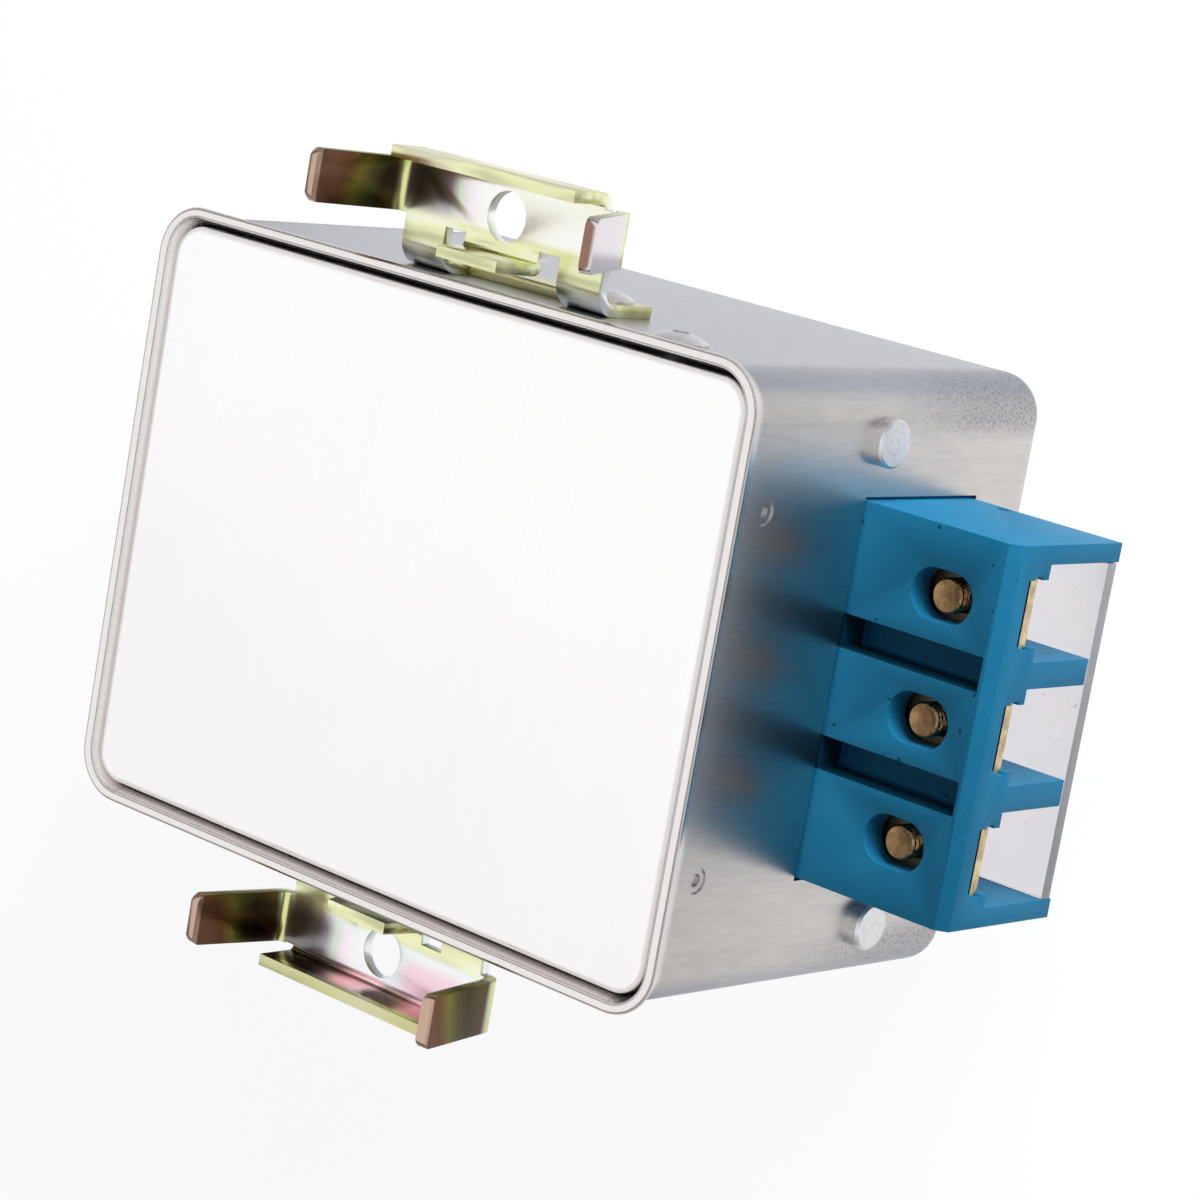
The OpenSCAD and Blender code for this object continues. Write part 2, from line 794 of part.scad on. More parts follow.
// Boxed film capacitor with two leads to the board
module x_capacitor() {
    lift = 0.5;
    translate([x_cap_x, 0, board_top + lift])
        round_plate(x_cap.x, x_cap.y, 1, x_cap.z);
    for (y = [-1, 1]) translate([x_cap_x, y * x_cap.y * 0.42, board_top])
        cylinder(d = lead_d, h = lift);
}

module line_x_capacitor() {
    color("goldenrod") x_capacitor();
}

module load_x_capacitor() {
    color("goldenrod") rotate([0, 0, 180]) x_capacitor();
}

// Two ceramic disc capacitors from the lines to earth
module y_capacitors() {
    color("royalblue") for (x = [-1, 1]) translate([x * y_cap_x, edge_part_y, board_top]) {
        translate([0, y_cap_t / 2, y_cap_lift + y_cap_d / 2]) rotate([90, 0, 0])
            cylinder(d = y_cap_d, h = y_cap_t);
        for (s = [-1, 1]) translate([s * y_cap_d / 4, 0, 0]) cylinder(d = lead_d, h = y_cap_lift + lead_in);
    }
}

// Discharge resistor lying on the board
module bleed_resistor() {
    body_l = 9;
    body_d = 3.2;
    rise = body_d / 2 + 0.5;
    color("tan") translate([0, -edge_part_y, board_top]) {
        translate([-body_l / 2, 0, rise]) rotate([0, 90, 0]) cylinder(d = body_d, h = body_l);
        for (x = [-1, 1]) translate([x * (body_l / 2 + 1), 0, 0]) {
            cylinder(d = lead_d, h = rise + lead_d / 2);
            translate([0, 0, rise]) rotate([0, -90 * x, 0]) cylinder(d = lead_d, h = lead_in);
        }
    }
}

// Insulated wires from the tails of the two live terminals to the board
module pole_wires() {
    tail_x = half_l - terminal_tail;
    start_z = block_top - terminal_level - terminal_t - fit - lead_wire_d / 2;
    for (i = [-1, 0]) {
        a = [tail_x + wire_start, i * pitch, start_z];
        b = [wire_x - wire_bend, i * pitch, start_z];
        c = [wire_x, i * pitch + 1, board_top + wire_drop];
        tube(concat(
            [a, [tail_x, i * pitch, start_z]],
            [for (s = [0.1:0.1:1]) bend_point([tail_x, i * pitch, start_z], b, c, s)],
            [[wire_x, i * pitch + 1, board_top + fit]]), lead_wire_d);
    }
}

module line_wires() {
    color("firebrick") pole_wires();
}

module load_wires() {
    color("firebrick") rotate([0, 0, 180]) pole_wires();
}

// Ring tags under the plate rivets
module earth_tags() {
    color("gold") both_walls() translate([plate_rivet_x, -tray_inset - tray_t, plate_rivet_z]) {
        rotate([90, 0, 0]) difference() {
            union() {
                cylinder(r = tag_r, h = tag_t);
                translate([-tag_neck / 2, -tag_r - tag_neck, 0]) cube([tag_neck, tag_r + 1, tag_t]);
            }
            translate([0, 0, -eps]) cylinder(d = plate_rivet_d + 2 * fit, h = tag_t + 2 * eps);
        }
        translate([0, -tag_barrel, -tag_r - tag_reach]) cylinder(r = tag_barrel, h = tag_barrel_l);
    }
}

// Earth wires from the third tail of each block to the ring tags
module earth_wire() {
    tail_x = half_l - terminal_tail;
    start_z = block_top - terminal_level + fit + lead_wire_d / 2;
    tag = [plate_rivet_x, half_w - tray_inset - tray_t - tag_barrel, plate_rivet_z - tag_r - tag_reach - fit];
    a = [tail_x, pitch, start_z];
    end = tag - [0, 0, wire_start];
    tube(concat(
        [[tail_x + wire_start, pitch, start_z], a],
        [for (s = [0.08:0.08:0.96]) bend_point(a, [tag.x, tag.y - wire_bend, start_z - 1], end, s)],
        [end, tag]), lead_wire_d);
}

module earth_wires() {
    color("limegreen") {
        earth_wire();
        rotate([0, 0, 180]) earth_wire();
    }
}

case();
base_plate();
upper_clip();
lower_clip();
clip_rivets();
plate_rivets();
block_rivets();
line_block();
load_block();
line_cover();
load_cover();
line_terminals();
load_terminals();
line_screws();
load_screws();
line_washers();
load_washers();
circuit_board();
board_spacers();
choke_core();
choke_base();
line_winding();
neutral_winding();
line_x_capacitor();
load_x_capacitor();
y_capacitors();
bleed_resistor();
line_wires();
load_wires();
earth_tags();
earth_wires();
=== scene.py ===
"""Finishes, small turned and moulded detail, light and camera for a rail-mounted line filter."""

import json
import math

import bmesh
import bpy
from bpy.props import FloatProperty, FloatVectorProperty, IntProperty, PointerProperty
from mathutils import Matrix, Vector

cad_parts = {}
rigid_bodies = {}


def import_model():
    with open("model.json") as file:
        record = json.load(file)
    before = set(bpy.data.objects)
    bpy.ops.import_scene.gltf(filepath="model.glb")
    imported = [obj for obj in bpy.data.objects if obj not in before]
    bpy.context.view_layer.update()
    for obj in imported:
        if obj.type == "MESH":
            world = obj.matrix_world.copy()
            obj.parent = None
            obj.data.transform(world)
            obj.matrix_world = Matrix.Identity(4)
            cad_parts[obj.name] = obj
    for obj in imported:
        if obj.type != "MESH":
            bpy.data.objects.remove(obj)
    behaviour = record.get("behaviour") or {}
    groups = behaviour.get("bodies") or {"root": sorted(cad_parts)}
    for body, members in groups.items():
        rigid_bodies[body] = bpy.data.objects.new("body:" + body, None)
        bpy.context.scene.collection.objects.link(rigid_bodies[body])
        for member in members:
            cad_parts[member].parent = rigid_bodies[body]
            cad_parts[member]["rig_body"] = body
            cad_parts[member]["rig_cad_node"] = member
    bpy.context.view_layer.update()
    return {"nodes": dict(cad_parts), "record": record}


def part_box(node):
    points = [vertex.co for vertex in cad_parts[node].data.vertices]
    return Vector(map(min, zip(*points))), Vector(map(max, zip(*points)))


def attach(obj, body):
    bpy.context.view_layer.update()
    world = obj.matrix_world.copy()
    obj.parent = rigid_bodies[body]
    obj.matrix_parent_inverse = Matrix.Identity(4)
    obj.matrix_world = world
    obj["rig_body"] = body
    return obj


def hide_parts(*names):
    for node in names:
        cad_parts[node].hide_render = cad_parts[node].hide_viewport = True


bl_info = {
    "name": "Line Filter",
    "version": (1, 0, 0),
    "blender": (4, 5, 0),
    "location": "3D View > Sidebar > Line Filter",
    "description": "Finishes and details a rail-mounted line filter on a studio floor",
    "category": "Object",
}

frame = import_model()

MM = 0.001
SIDES = ("line", "load")
CLIPS = ("upper_clip", "lower_clip")
WHITE = (1.0, 1.0, 1.0)

# Masks, in millimetres: where a soft step starts and ends. On the case they go inward from its
# outer faces and down from its mouth, and ROUGH_HEIGHT is the height above the floor.
CORNER_RADIUS = 5.5
CORNER_SOFT = 3.0
BEAD_DEPTH = (3.4, 2.4)
END_DEPTH = (3.0, 0.5)
ROUGH_HEIGHT = (10, 34)

# On the clips: along the rail, out from the middle, and up from the clips' holes.
TAB_ALONG = (15.6, 16.4)
TONGUE_OUT = (41.4, 42.4)
LIP_OUT = (46.9, 47.6)
BRIM_RISE = (4.9, 5.2)
BEND_RISE = (-2.4, -0.7)
FOOT_RISE = (-5.2, -2.2)
TIP_RISE = (12.6, 12.85)

# The terminal screws' small cuts, in metres.
TIP_CHAMFER = 0.00022
TIP_RINGS = ((0.00035, 0.00012), (0.0006, 0.00022))
CROSS_WIDTH = 0.0008

# The screws' heads: the share of the height that each ring adds, and how far it draws in.
HEAD_RINGS = ((0.65, 1.0), (0.25, 0.9), (0.10, 0.82))

# Steps along the screw for each turn of its thread.
CUTS_PER_PITCH = 6

# Painted shade in the blocks' slots: from the slot's middle, down from the top and in from the
# outer end.
SLOT_HALF = (1.9, 2.0)
SLOT_MOUTH = (0.6, 0.1)
SLOT_FLOOR = (5.5, 5.3)
SLOT_END = (1.68, 1.60)

# On the floor: the edges of the patch under the case, and how far past them its glow fades.
PATCH_X = 52
PATCH_Y = 39
PATCH_FADE = (6, 80)

# How much of the floor is glow to the camera, and to gloss far from the case and near it.
GLOW_STRENGTH = 1.36
GLOW_SEEN = 0.66
GLOW_FAR = 0.20
GLOW_NEAR = 0.64

# The sky that gloss sees: its level at the horizon, its warmth there, and the rise to full.
HORIZON_LEVEL = 0.16
HORIZON_TINT = (0.95, 0.80, 0.74)
HORIZON_RISE = (0.10, 0.42)

# The lamps, in metres.
KEY_PLACE = (0.48, 0.82, 0.08)
KEY_SIZE = 1.1
FILL_PLACE = (-0.5, -0.25, 0.7)
FILL_SIZE = 0.7


def colour(name, description, default):
    """A colour property in linear light."""
    return FloatVectorProperty(
        name=name, description=description, default=default, subtype="COLOR", size=3, min=0, max=1
    )


def length(name, description, default):
    """A length property in metres."""
    return FloatProperty(name=name, description=description, default=default, unit="LENGTH", min=0)


class FilterFinish(bpy.types.PropertyGroup):
    """Colours of the filter's finishes."""

    case_steel: colour("Case steel", "Satin plating of the case's long walls", (0.46, 0.47, 0.53))
    # The short walls' colour is a lighter, warmer copy of the case steel: painted light for their
    # brighter reflections.
    end_steel_lit: colour("End steel", "Satin plating of the case's short walls", (0.71, 0.67, 0.63))
    bead_steel: colour("Bead steel", "Plating of the rolled bead", (0.84, 0.81, 0.80))
    plate_steel: colour("Base plate steel", "Bright plating of the base plate", (1.0, 1.0, 0.995))
    # Painted shade: the plate turns to this darker, warmer colour toward one long edge.
    plate_shaded: colour("Warm plate", "The same plating where it is stained", (0.96, 0.94, 0.935))
    rivet_steel: colour("Rivet steel", "Plating of the rivets and washers", (0.84, 0.84, 0.86))
    passivate: colour("Passivate", "Pale film on the clips' bends and edges", (0.78, 0.80, 0.47))
    passivate_deep: colour("Deep passivate", "Thick film on the clips' feet", (0.40, 0.36, 0.13))
    block_blue: colour("Block blue", "Moulded plastic of the blocks", (0.020, 0.275, 0.530))
    clear: colour("Clear plastic", "Moulded plastic of the covers", (0.80, 0.785, 0.81))
    rim: colour("Cover rim", "Unpolished edges of the covers", (0.58, 0.58, 0.61))
    plate_brass: colour("Terminal brass", "Bare brass of the terminal plates", (0.86, 0.66, 0.40))
    screw_brass: colour("Screw brass", "Dull brass of the terminal screws", (0.29, 0.18, 0.085))


class FilterDetail(bpy.types.PropertyGroup):
    """Sizes of the small detail."""

    plastic_edge: length("Plastic edge", "Radius on the block's moulded edges", 0.00015)
    sheet_edge: length("Sheet edge", "Radius on the stamped sheet's edges", 0.00016)
    cover_edge: length("Cover edge", "Radius on the clear cover's edges", 0.0002)
    screw_diameter: length("Screw diameter", "Outer diameter of the screw thread", 0.004)
    screw_pitch: length("Screw pitch", "Pitch of the screw thread", 0.0007)
    screw_head: length("Screw head", "Diameter of the screw head", 0.007)
    screw_head_height: length("Screw head height", "Height of the screw head", 0.0026)
    thread_sides: IntProperty(
        name="Thread sides", description="Steps round the screw thread", default=48, min=12, max=96
    )


class FilterStudio(bpy.types.PropertyGroup):
    """Camera and light."""

    camera_place: FloatVectorProperty(
        name="Camera place", description="Where the camera stands", unit="LENGTH",
        default=(0.3034, 0.0883, 0.3830),
    )
    camera_aim: FloatVectorProperty(
        name="Camera aim", description="The point that the camera looks at", unit="LENGTH",
        default=(0.0009, -0.0016, 0.0200),
    )
    camera_roll: FloatProperty(
        name="Camera roll", description="Turn of the camera about its view axis", unit="ROTATION",
        default=math.radians(-92.6),
    )
    lens: FloatProperty(
        name="Lens", description="Focal length in millimetres", default=120.0, min=10
    )
    key_power: FloatProperty(
        name="Key", description="Power of the key lamp", default=17.0, unit="POWER"
    )
    fill_power: FloatProperty(
        name="Fill", description="Power of the fill lamp", default=0.1, unit="POWER"
    )
    sky: FloatProperty(
        name="Sky", description="Strength of the sky on matt surfaces", default=0.10
    )


class Signal:
    """One socket of a node tree; arithmetic on it adds Math nodes."""

    def __init__(self, nodes, socket):
        self.nodes = nodes
        self.socket = socket

    def math(self, operation, first, second):
        """The result of a Math node."""
        return self.nodes.add("ShaderNodeMath", {"operation": operation}, {0: first, 1: second})

    def __add__(self, other):
        return self.math("ADD", self, other)

    __radd__ = __add__

    def __sub__(self, other):
        return self.math("SUBTRACT", self, other)

    def __rsub__(self, other):
        return self.math("SUBTRACT", other, self)

    def __mul__(self, other):
        return self.math("MULTIPLY", self, other)

    def __abs__(self):
        return self.math("ABSOLUTE", self, 0.0)

    def over(self, other):
        """The greater of two values."""
        return self.math("MAXIMUM", self, other)


class Nodes:
    """A node tree under construction."""

    def __init__(self, tree):
        self.tree = tree

    def add(self, kind, settings=None, inputs=None, output=0):
        """Adds a node with its settings first and its sockets after, and returns one output."""
        node = self.tree.nodes.new(kind)
        for key, value in (settings or {}).items():
            if key == "stops":
                self.fill_ramp(node.color_ramp, value)
            else:
                setattr(node, key, value)
        for key, value in (inputs or {}).items():
            if isinstance(value, Signal):
                self.tree.links.new(value.socket, node.inputs[key])
            else:
                node.inputs[key].default_value = value
        return Signal(self, node.outputs[output])

    @staticmethod
    def fill_ramp(ramp, stops):
        """Writes (position, colour) stops into a colour ramp."""
        while len(ramp.elements) < len(stops):
            ramp.elements.new(1.0)
        for element, (position, tint) in zip(ramp.elements, stops):
            element.position = position
            element.color = (*tint, 1.0)

    def part(self, vector, letter):
        """One component of a vector."""
        return self.add("ShaderNodeSeparateXYZ", None, {0: vector}, "XYZ".index(letter))

    def ray(self, kind):
        """1 for rays of one kind, such as Camera or Glossy."""
        return self.add("ShaderNodeLightPath", output=f"Is {kind} Ray")

    def ease(self, value, low, high):
        """0 below low and 1 above high, with a soft step between."""
        return self.add(
            "ShaderNodeMapRange", {"interpolation_type": "SMOOTHSTEP"},
            {"Value": value, "From Min": low, "From Max": high},
        )

    def mix(self, factor, first, second):
        """A blend of two colours."""
        tints = {
            6: first if isinstance(first, Signal) else (*tuple(first)[:3], 1.0),
            7: second if isinstance(second, Signal) else (*tuple(second)[:3], 1.0),
        }
        return self.add("ShaderNodeMix", {"data_type": "RGBA"}, {0: factor, **tints}, 2)


class Paint(Nodes):
    """A material under construction, with its pattern coordinates in millimetres."""

    def __init__(self, name, **fixed):
        self.material = bpy.data.materials.new(name)
        self.material.use_nodes = True
        super().__init__(self.material.node_tree)
        self.shader = next(n for n in self.tree.nodes if n.type == "BSDF_PRINCIPLED")
        for socket, value in fixed.items():
            self.set(socket.replace("_", " "), value)
        place = self.add("ShaderNodeTexCoord", output="Object")
        self.place = self.add(
            "ShaderNodeVectorMath", {"operation": "SCALE"}, {0: place, "Scale": 1 / MM}
        )

    def set(self, socket, value):
        """Gives one socket of the surface shader a value or a link."""
        target = self.shader.inputs[socket]
        if isinstance(value, Signal):
            self.tree.links.new(value.socket, target)
        elif target.type == "RGBA":
            target.default_value = (*tuple(value)[:3], 1.0)
        else:
            target.default_value = value

    def axis(self, letter):
        """One coordinate of the surface point, in millimetres."""
        return self.part(self.place, letter)

    def facing(self, letter):
        """How far the surface faces along one axis, in either direction."""
        return abs(self.part(self.add("ShaderNodeNewGeometry", output="Normal"), letter))

    def noise(self, scale, stretch=(1, 1, 1), detail=2.0, distortion=0.0, shift=0.0):
        """Smooth noise about 0.5; scale is in features a millimetre."""
        where = self.add(
            "ShaderNodeVectorMath", {"operation": "MULTIPLY_ADD"},
            {0: self.place, 1: stretch, 2: (shift, shift, shift)},
        )
        return self.add(
            "ShaderNodeTexNoise", None,
            {"Vector": where, "Scale": scale, "Detail": detail, "Distortion": distortion},
        )

    def band(self, value, low, high, soft):
        """1 between low and high, fading to 0 over soft."""
        return self.ease(value, low - soft, low) * (1 - self.ease(value, high, high + soft))

    def ramp(self, value, stops):
        """A colour read off a ramp."""
        return self.add("ShaderNodeValToRGB", {"stops": stops}, {0: value})

    def bump(self, height, depth):
        """Feeds a height pattern to the normal; depth is in millimetres."""
        pattern = {"Height": height, "Strength": 1.0, "Distance": depth * MM}
        self.set("Normal", self.add("ShaderNodeBump", None, pattern))


def shade(tint, factor):
    """A darker or lighter tint."""
    return tuple(min(1.0, c * factor) for c in tint)


def from_edge(paint, value, edge, depth):
    """A soft step up to 1 toward an edge, between two depths inside it."""
    return paint.ease(value, edge - depth[0], edge - depth[1])


def paint_case_steel(finish):
    """Satin plated sheet: cool long walls, short walls in painted light (a lighter, warmer copy of
    the steel), coarse corners and a bright bead.
    """
    paint = Paint("case_steel", Metallic=1.0)
    low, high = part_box("case")
    half_x = (high.x - low.x) / 2 / MM
    half_y = (high.y - low.y) / 2 / MM
    top = high.z / MM
    across = abs(paint.axis("X"))
    grain = paint.noise(2.2, stretch=(1.0, 1.0, 0.12), detail=4.0)
    cloud = paint.noise(0.035, detail=3.0)
    speck = paint.noise(3.4, detail=3.0)
    turned = from_edge(paint, across, half_x - CORNER_RADIUS, (CORNER_SOFT, 0))
    turned = turned * from_edge(
        paint, abs(paint.axis("Y")), half_y - CORNER_RADIUS, (CORNER_SOFT, 0)
    )
    rough_end = turned * (1 - paint.ease(paint.axis("Z"), *ROUGH_HEIGHT))
    ends = from_edge(paint, across, half_x, END_DEPTH)
    bead = from_edge(paint, paint.axis("Z"), top, BEAD_DEPTH)
    # Painted light: the short walls take the lighter, warmer copy of the steel.
    tint = paint.mix(ends, finish.case_steel, finish.end_steel_lit)
    for amount, dark in (
        (paint.ease(cloud, 0.35, 0.65) * 0.10, 0.70),
        (paint.ease(grain, 0.3, 0.7) * 0.16, 0.66),
        (rough_end * 0.35, 0.60),
        (paint.ease(speck, 0.46, 0.66) * rough_end * 0.7, 0.45),
    ):
        tint = paint.mix(amount, tint, shade(finish.case_steel, dark))
    tint = paint.mix(bead, tint, finish.bead_steel)
    paint.set("Base Color", tint)
    paint.set("Roughness", 0.27 + grain * 0.08 + turned * 0.06 - bead * 0.10)
    paint.bump(grain * 0.4 + speck * (0.4 + rough_end * 2.0), 0.004)
    return paint.material


def paint_plate_steel(finish):
    """Bright plated sheet with painted shade, a little darker and warmer toward one long edge, and
    fine rolling lines.
    """
    paint = Paint("plate_steel", Metallic=1.0)
    lines = paint.noise(1.4, stretch=(1.0, 0.02, 1.0), detail=3.0)
    patch = paint.noise(0.045, detail=3.0, distortion=0.6, shift=3.0)
    speck = paint.noise(0.9, detail=1.0, shift=11.0)
    # Painted shade: darker and warmer toward one long edge.
    shade_slant = 0.5 - paint.axis("Y") * 0.016 - paint.axis("X") * 0.004
    tint = paint.mix(
        paint.ease(shade_slant + patch * 0.30, 0.30, 1.05), finish.plate_steel, finish.plate_shaded
    )
    tint = paint.mix(paint.ease(lines, 0.45, 0.75) * 0.10, tint, shade(finish.plate_shaded, 0.90))
    tint = paint.mix(paint.ease(speck, 0.755, 0.79) * 0.15, tint, (0.84, 0.76, 0.62))
    paint.set("Base Color", tint)
    paint.set("Roughness", 0.24 + patch * 0.08)
    paint.bump(lines, 0.003)
    return paint.material


def paint_rivet_steel(finish):
    """Bright plated steel with the small dents of setting."""
    paint = Paint("rivet_steel", Metallic=1.0)
    dent = paint.noise(1.3, detail=2.0)
    fine = paint.noise(6.0, detail=2.0)
    dark, light = shade(finish.rivet_steel, 0.80), shade(finish.rivet_steel, 1.12)
    paint.set("Base Color", paint.mix(dent, dark, light))
    paint.set("Roughness", 0.36 + fine * 0.14)
    paint.bump(dent * 1.6 + fine * 0.1, 0.04)
    return paint.material


def paint_passivate(finish):
    """Yellow passivate over zinc: pale faces with drifts of pink and cyan, olive bends and edges.

    Some of its colours are placed: a painted reflection of a shaded tab, dark on one plate's side,
    the lower clip's pink patch and lip, painted shade on the tabs and the one tab left unshaded.
    """
    paint = Paint("zinc_passivate", Metallic=1.0)
    holes = next(m for m in frame["record"]["mounts"] if m["name"] == "clip_holes")
    level = holes["pos_m"][2] / MM
    rise = paint.axis("Z") - level
    along = paint.axis("X")
    out = abs(paint.axis("Y"))
    low_side = 1 - paint.ease(paint.axis("Y"), -5, 5)
    drift = paint.noise(0.055, detail=1.5, distortion=0.5, shift=7.0)
    fine = paint.noise(5.0, detail=3.0)
    film = paint.ramp(
        paint.ease(drift * 0.6 + 0.11 + low_side * 0.20, 0.30, 0.80),
        [
            (0.00, (0.94, 0.96, 0.82)), (0.20, (0.97, 0.98, 0.95)),
            (0.40, (0.97, 0.97, 0.96)), (0.54, (0.80, 0.93, 0.92)),
            (0.66, (0.93, 0.86, 0.92)), (0.80, (0.97, 0.62, 0.76)),
            (0.92, (0.86, 0.80, 0.90)), (1.00, (0.88, 0.88, 0.60)),
        ],
    )
    # Painted reflection: a shaded tab seen dark in the side of a plate, fading to pale.
    painted_tab_reflection = paint.ramp(
        paint.ease(along + drift * 6.0, -14.0, -0.5),
        [
            (0.00, (0.13, 0.09, 0.06)), (0.34, (0.10, 0.07, 0.09)),
            (0.56, (0.30, 0.22, 0.32)), (0.72, (0.62, 0.74, 0.56)),
            (0.86, (0.93, 0.78, 0.88)), (1.00, (0.96, 0.96, 0.95)),
        ],
    )
    lip = paint.ramp(
        paint.ease(along + drift * 7.0, -11.5, 18.5),
        [
            (0.00, (0.12, 0.085, 0.05)), (0.20, (0.24, 0.14, 0.10)),
            (0.32, (0.98, 0.46, 0.48)), (0.50, (0.96, 0.62, 0.66)),
            (0.58, (0.17, 0.10, 0.07)), (0.72, (0.24, 0.14, 0.12)),
            (0.82, (0.85, 0.45, 0.60)), (1.00, (0.60, 0.32, 0.44)),
        ],
    )
    # Painted shade: dark browns and olives on the tabs, which stand in shade.
    painted_tab_shade = paint.ramp(
        paint.ease(rise + drift * 9.0 + out * 0.25, 14.5, 28.5),
        [
            (0.00, (0.115, 0.075, 0.030)), (0.30, (0.055, 0.040, 0.022)),
            (0.52, (0.085, 0.085, 0.028)), (0.72, (0.19, 0.165, 0.040)),
            (0.90, (0.17, 0.070, 0.040)), (1.00, (0.20, 0.10, 0.065)),
        ],
    )
    past = paint.ease(abs(along), *TAB_ALONG)
    above = paint.ease(rise, 0.9, 2.2)
    # The one tab left without painted shade.
    unshaded_tab = paint.ease(along, 10, 12) * (1 - low_side)
    streak = paint.noise(0.55, stretch=(0.12, 1.0, 1.0), detail=1.0, shift=2.0)
    pale = paint.ramp(
        paint.ease(streak, 0.28, 0.72),
        [
            (0.00, shade(finish.passivate, 0.74)), (0.35, finish.passivate),
            (0.65, shade(finish.passivate, 1.12)), (1.00, (0.95, 0.95, 0.78)),
        ],
    )
    tongue = (1 - paint.ease(out, *TONGUE_OUT)) * paint.ease(rise, 0.1, 0.8) * (1 - past)
    lipped = paint.ease(out, *LIP_OUT) * paint.ease(rise, 0.2, 1.0) * (1 - past)
    brim = paint.ease(rise, *BRIM_RISE) * lipped
    bent = 1 - paint.ease(rise, *BEND_RISE)
    foot = 1 - paint.ease(rise, *FOOT_RISE)
    tip = paint.ease(rise + unshaded_tab, *TIP_RISE)
    cut = paint.ease(paint.facing("Y"), 0.75, 0.95) * past * above
    rust = paint.ease(streak, 0.52, 0.66) * 0.45
    # Where the painted reflection of the shaded tab lies.
    dim = (1 - paint.ease(along, -1.5, 2.0)) * paint.ease(out, 40.5, 44.0) * (1 - bent)
    tint = paint.mix(dim * 0.85, film, painted_tab_reflection)
    blush = low_side * paint.band(along, 5.0, 12.0, 3.0) * paint.ease(out, 42.0, 44.5)
    tint = paint.mix(blush * 0.75, tint, (0.98, 0.60, 0.74))
    tint = paint.mix((bent * (1 - low_side * 0.45)).over(tongue), tint, pale)
    tint = paint.mix(foot * 0.75, tint, finish.passivate_deep)
    tint = paint.mix(lipped, tint, paint.mix(low_side, pale, lip))
    worn = paint.mix((low_side * 0.5).over(rust), pale, finish.passivate_deep)
    tint = paint.mix(brim, tint, worn)
    tint = paint.mix(past * (1 - above), tint, (0.72, 0.76, 0.34))
    # Painted shade on the tabs above their roots, except on the one unshaded tab.
    tint = paint.mix(past * above, tint, paint.mix(unshaded_tab, painted_tab_shade, (0.80, 0.76, 0.78)))
    tint = paint.mix(cut * 0.7, tint, finish.passivate_deep)
    tint = paint.mix(tip, tint, paint.mix(unshaded_tab, (0.58, 0.40, 0.31), (0.30, 0.17, 0.13)))
    tint = paint.mix(paint.ease(fine, 0.55, 0.8) * 0.14, tint, (0.42, 0.36, 0.18))
    paint.set("Base Color", tint)
    paint.set("Roughness", 0.17 + fine * 0.10)
    paint.bump(fine + paint.noise(0.8, detail=2.0) * 2.0, 0.005)
    return paint.material


def terminal_pitch(side, detail):
    """The distance between the terminal screws of one side, in metres."""
    low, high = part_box(side + "_screws")
    return (high.y - low.y - detail.screw_head) / 2


def paint_blue_plastic(finish, detail):
    """Moulded plastic with a fine eroded grain, faint flow marks, a few dark pits and painted shade
    in the slots.
    """
    paint = Paint("blue_plastic", Specular_IOR_Level=0.16)
    grain = paint.noise(4.5, detail=3.0)
    flow = paint.noise(0.12, detail=3.0, distortion=0.8)
    scuff = paint.noise(1.1, stretch=(0.25, 1.0, 1.0), detail=4.0, shift=5.0)
    pit = paint.ease(paint.noise(0.85, detail=1.0, shift=3.0), 0.75, 0.775)
    half_pitch = terminal_pitch("line", detail) / 2 / MM
    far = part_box("line_block")[1] / MM
    # Painted shade: the slots are darkened inside, where shade falls.
    slot = 1 - paint.ease(abs(abs(paint.axis("Y")) - half_pitch), *SLOT_HALF)
    slot = slot * (1 - from_edge(paint, paint.axis("Z"), far.z, SLOT_MOUTH))
    slot = slot * from_edge(paint, paint.axis("Z"), far.z, SLOT_FLOOR)
    slot = slot * (1 - from_edge(paint, abs(paint.axis("X")), far.x, SLOT_END))
    tint = paint.mix(flow, shade(finish.block_blue, 0.88), shade(finish.block_blue, 1.12))
    tint = paint.mix(paint.ease(scuff, 0.62, 0.78) * 0.22, tint, (0.10, 0.42, 0.68))
    # Painted shade in the slots; the pits are dark specks.
    tint = paint.mix((slot * 0.96).over(pit * 0.7), tint, shade(finish.block_blue, 0.10))
    paint.set("Base Color", tint)
    paint.set("Roughness", 0.42 + grain * 0.14)
    paint.bump(grain + flow * 1.5 - pit * 3.0, 0.012)
    return paint.material


def paint_clear_plastic(finish):
    """Clear plastic, a little hazy, with fine scratches and a few specks."""
    paint = Paint("clear_plastic", Transmission_Weight=1.0, IOR=1.49)
    haze = paint.noise(0.2, detail=2.0)
    scratch = paint.noise(2.0, stretch=(0.06, 1.0, 1.0), detail=3.0)
    speck = paint.ease(paint.noise(1.3, detail=1.0, shift=9.0), 0.73, 0.76)
    tint = paint.mix(haze, shade(finish.clear, 0.97), shade(finish.clear, 1.03))
    paint.set("Base Color", paint.mix(speck * 0.5, tint, shade(finish.clear, 0.55)))
    paint.set("Roughness", 0.03 + paint.ease(scratch, 0.6, 0.8) * 0.10 + speck * 0.3)
    paint.bump(scratch + speck, 0.002)
    return paint.material


def paint_frosted_rim(finish):
    """The unpolished outer edges of the clear covers, with lighter streaks of painted highlight."""
    paint = Paint("clear_rim", Transmission_Weight=0.35, IOR=1.49)
    streak = paint.noise(1.6, stretch=(1.0, 0.05, 1.0), detail=3.0)
    # Painted highlight: lighter streaks along the rim.
    paint.set("Base Color", paint.mix(streak, finish.rim, shade(finish.rim, 1.45)))
    paint.set("Roughness", 0.35 + streak * 0.2)
    paint.bump(streak, 0.004)
    return paint.material


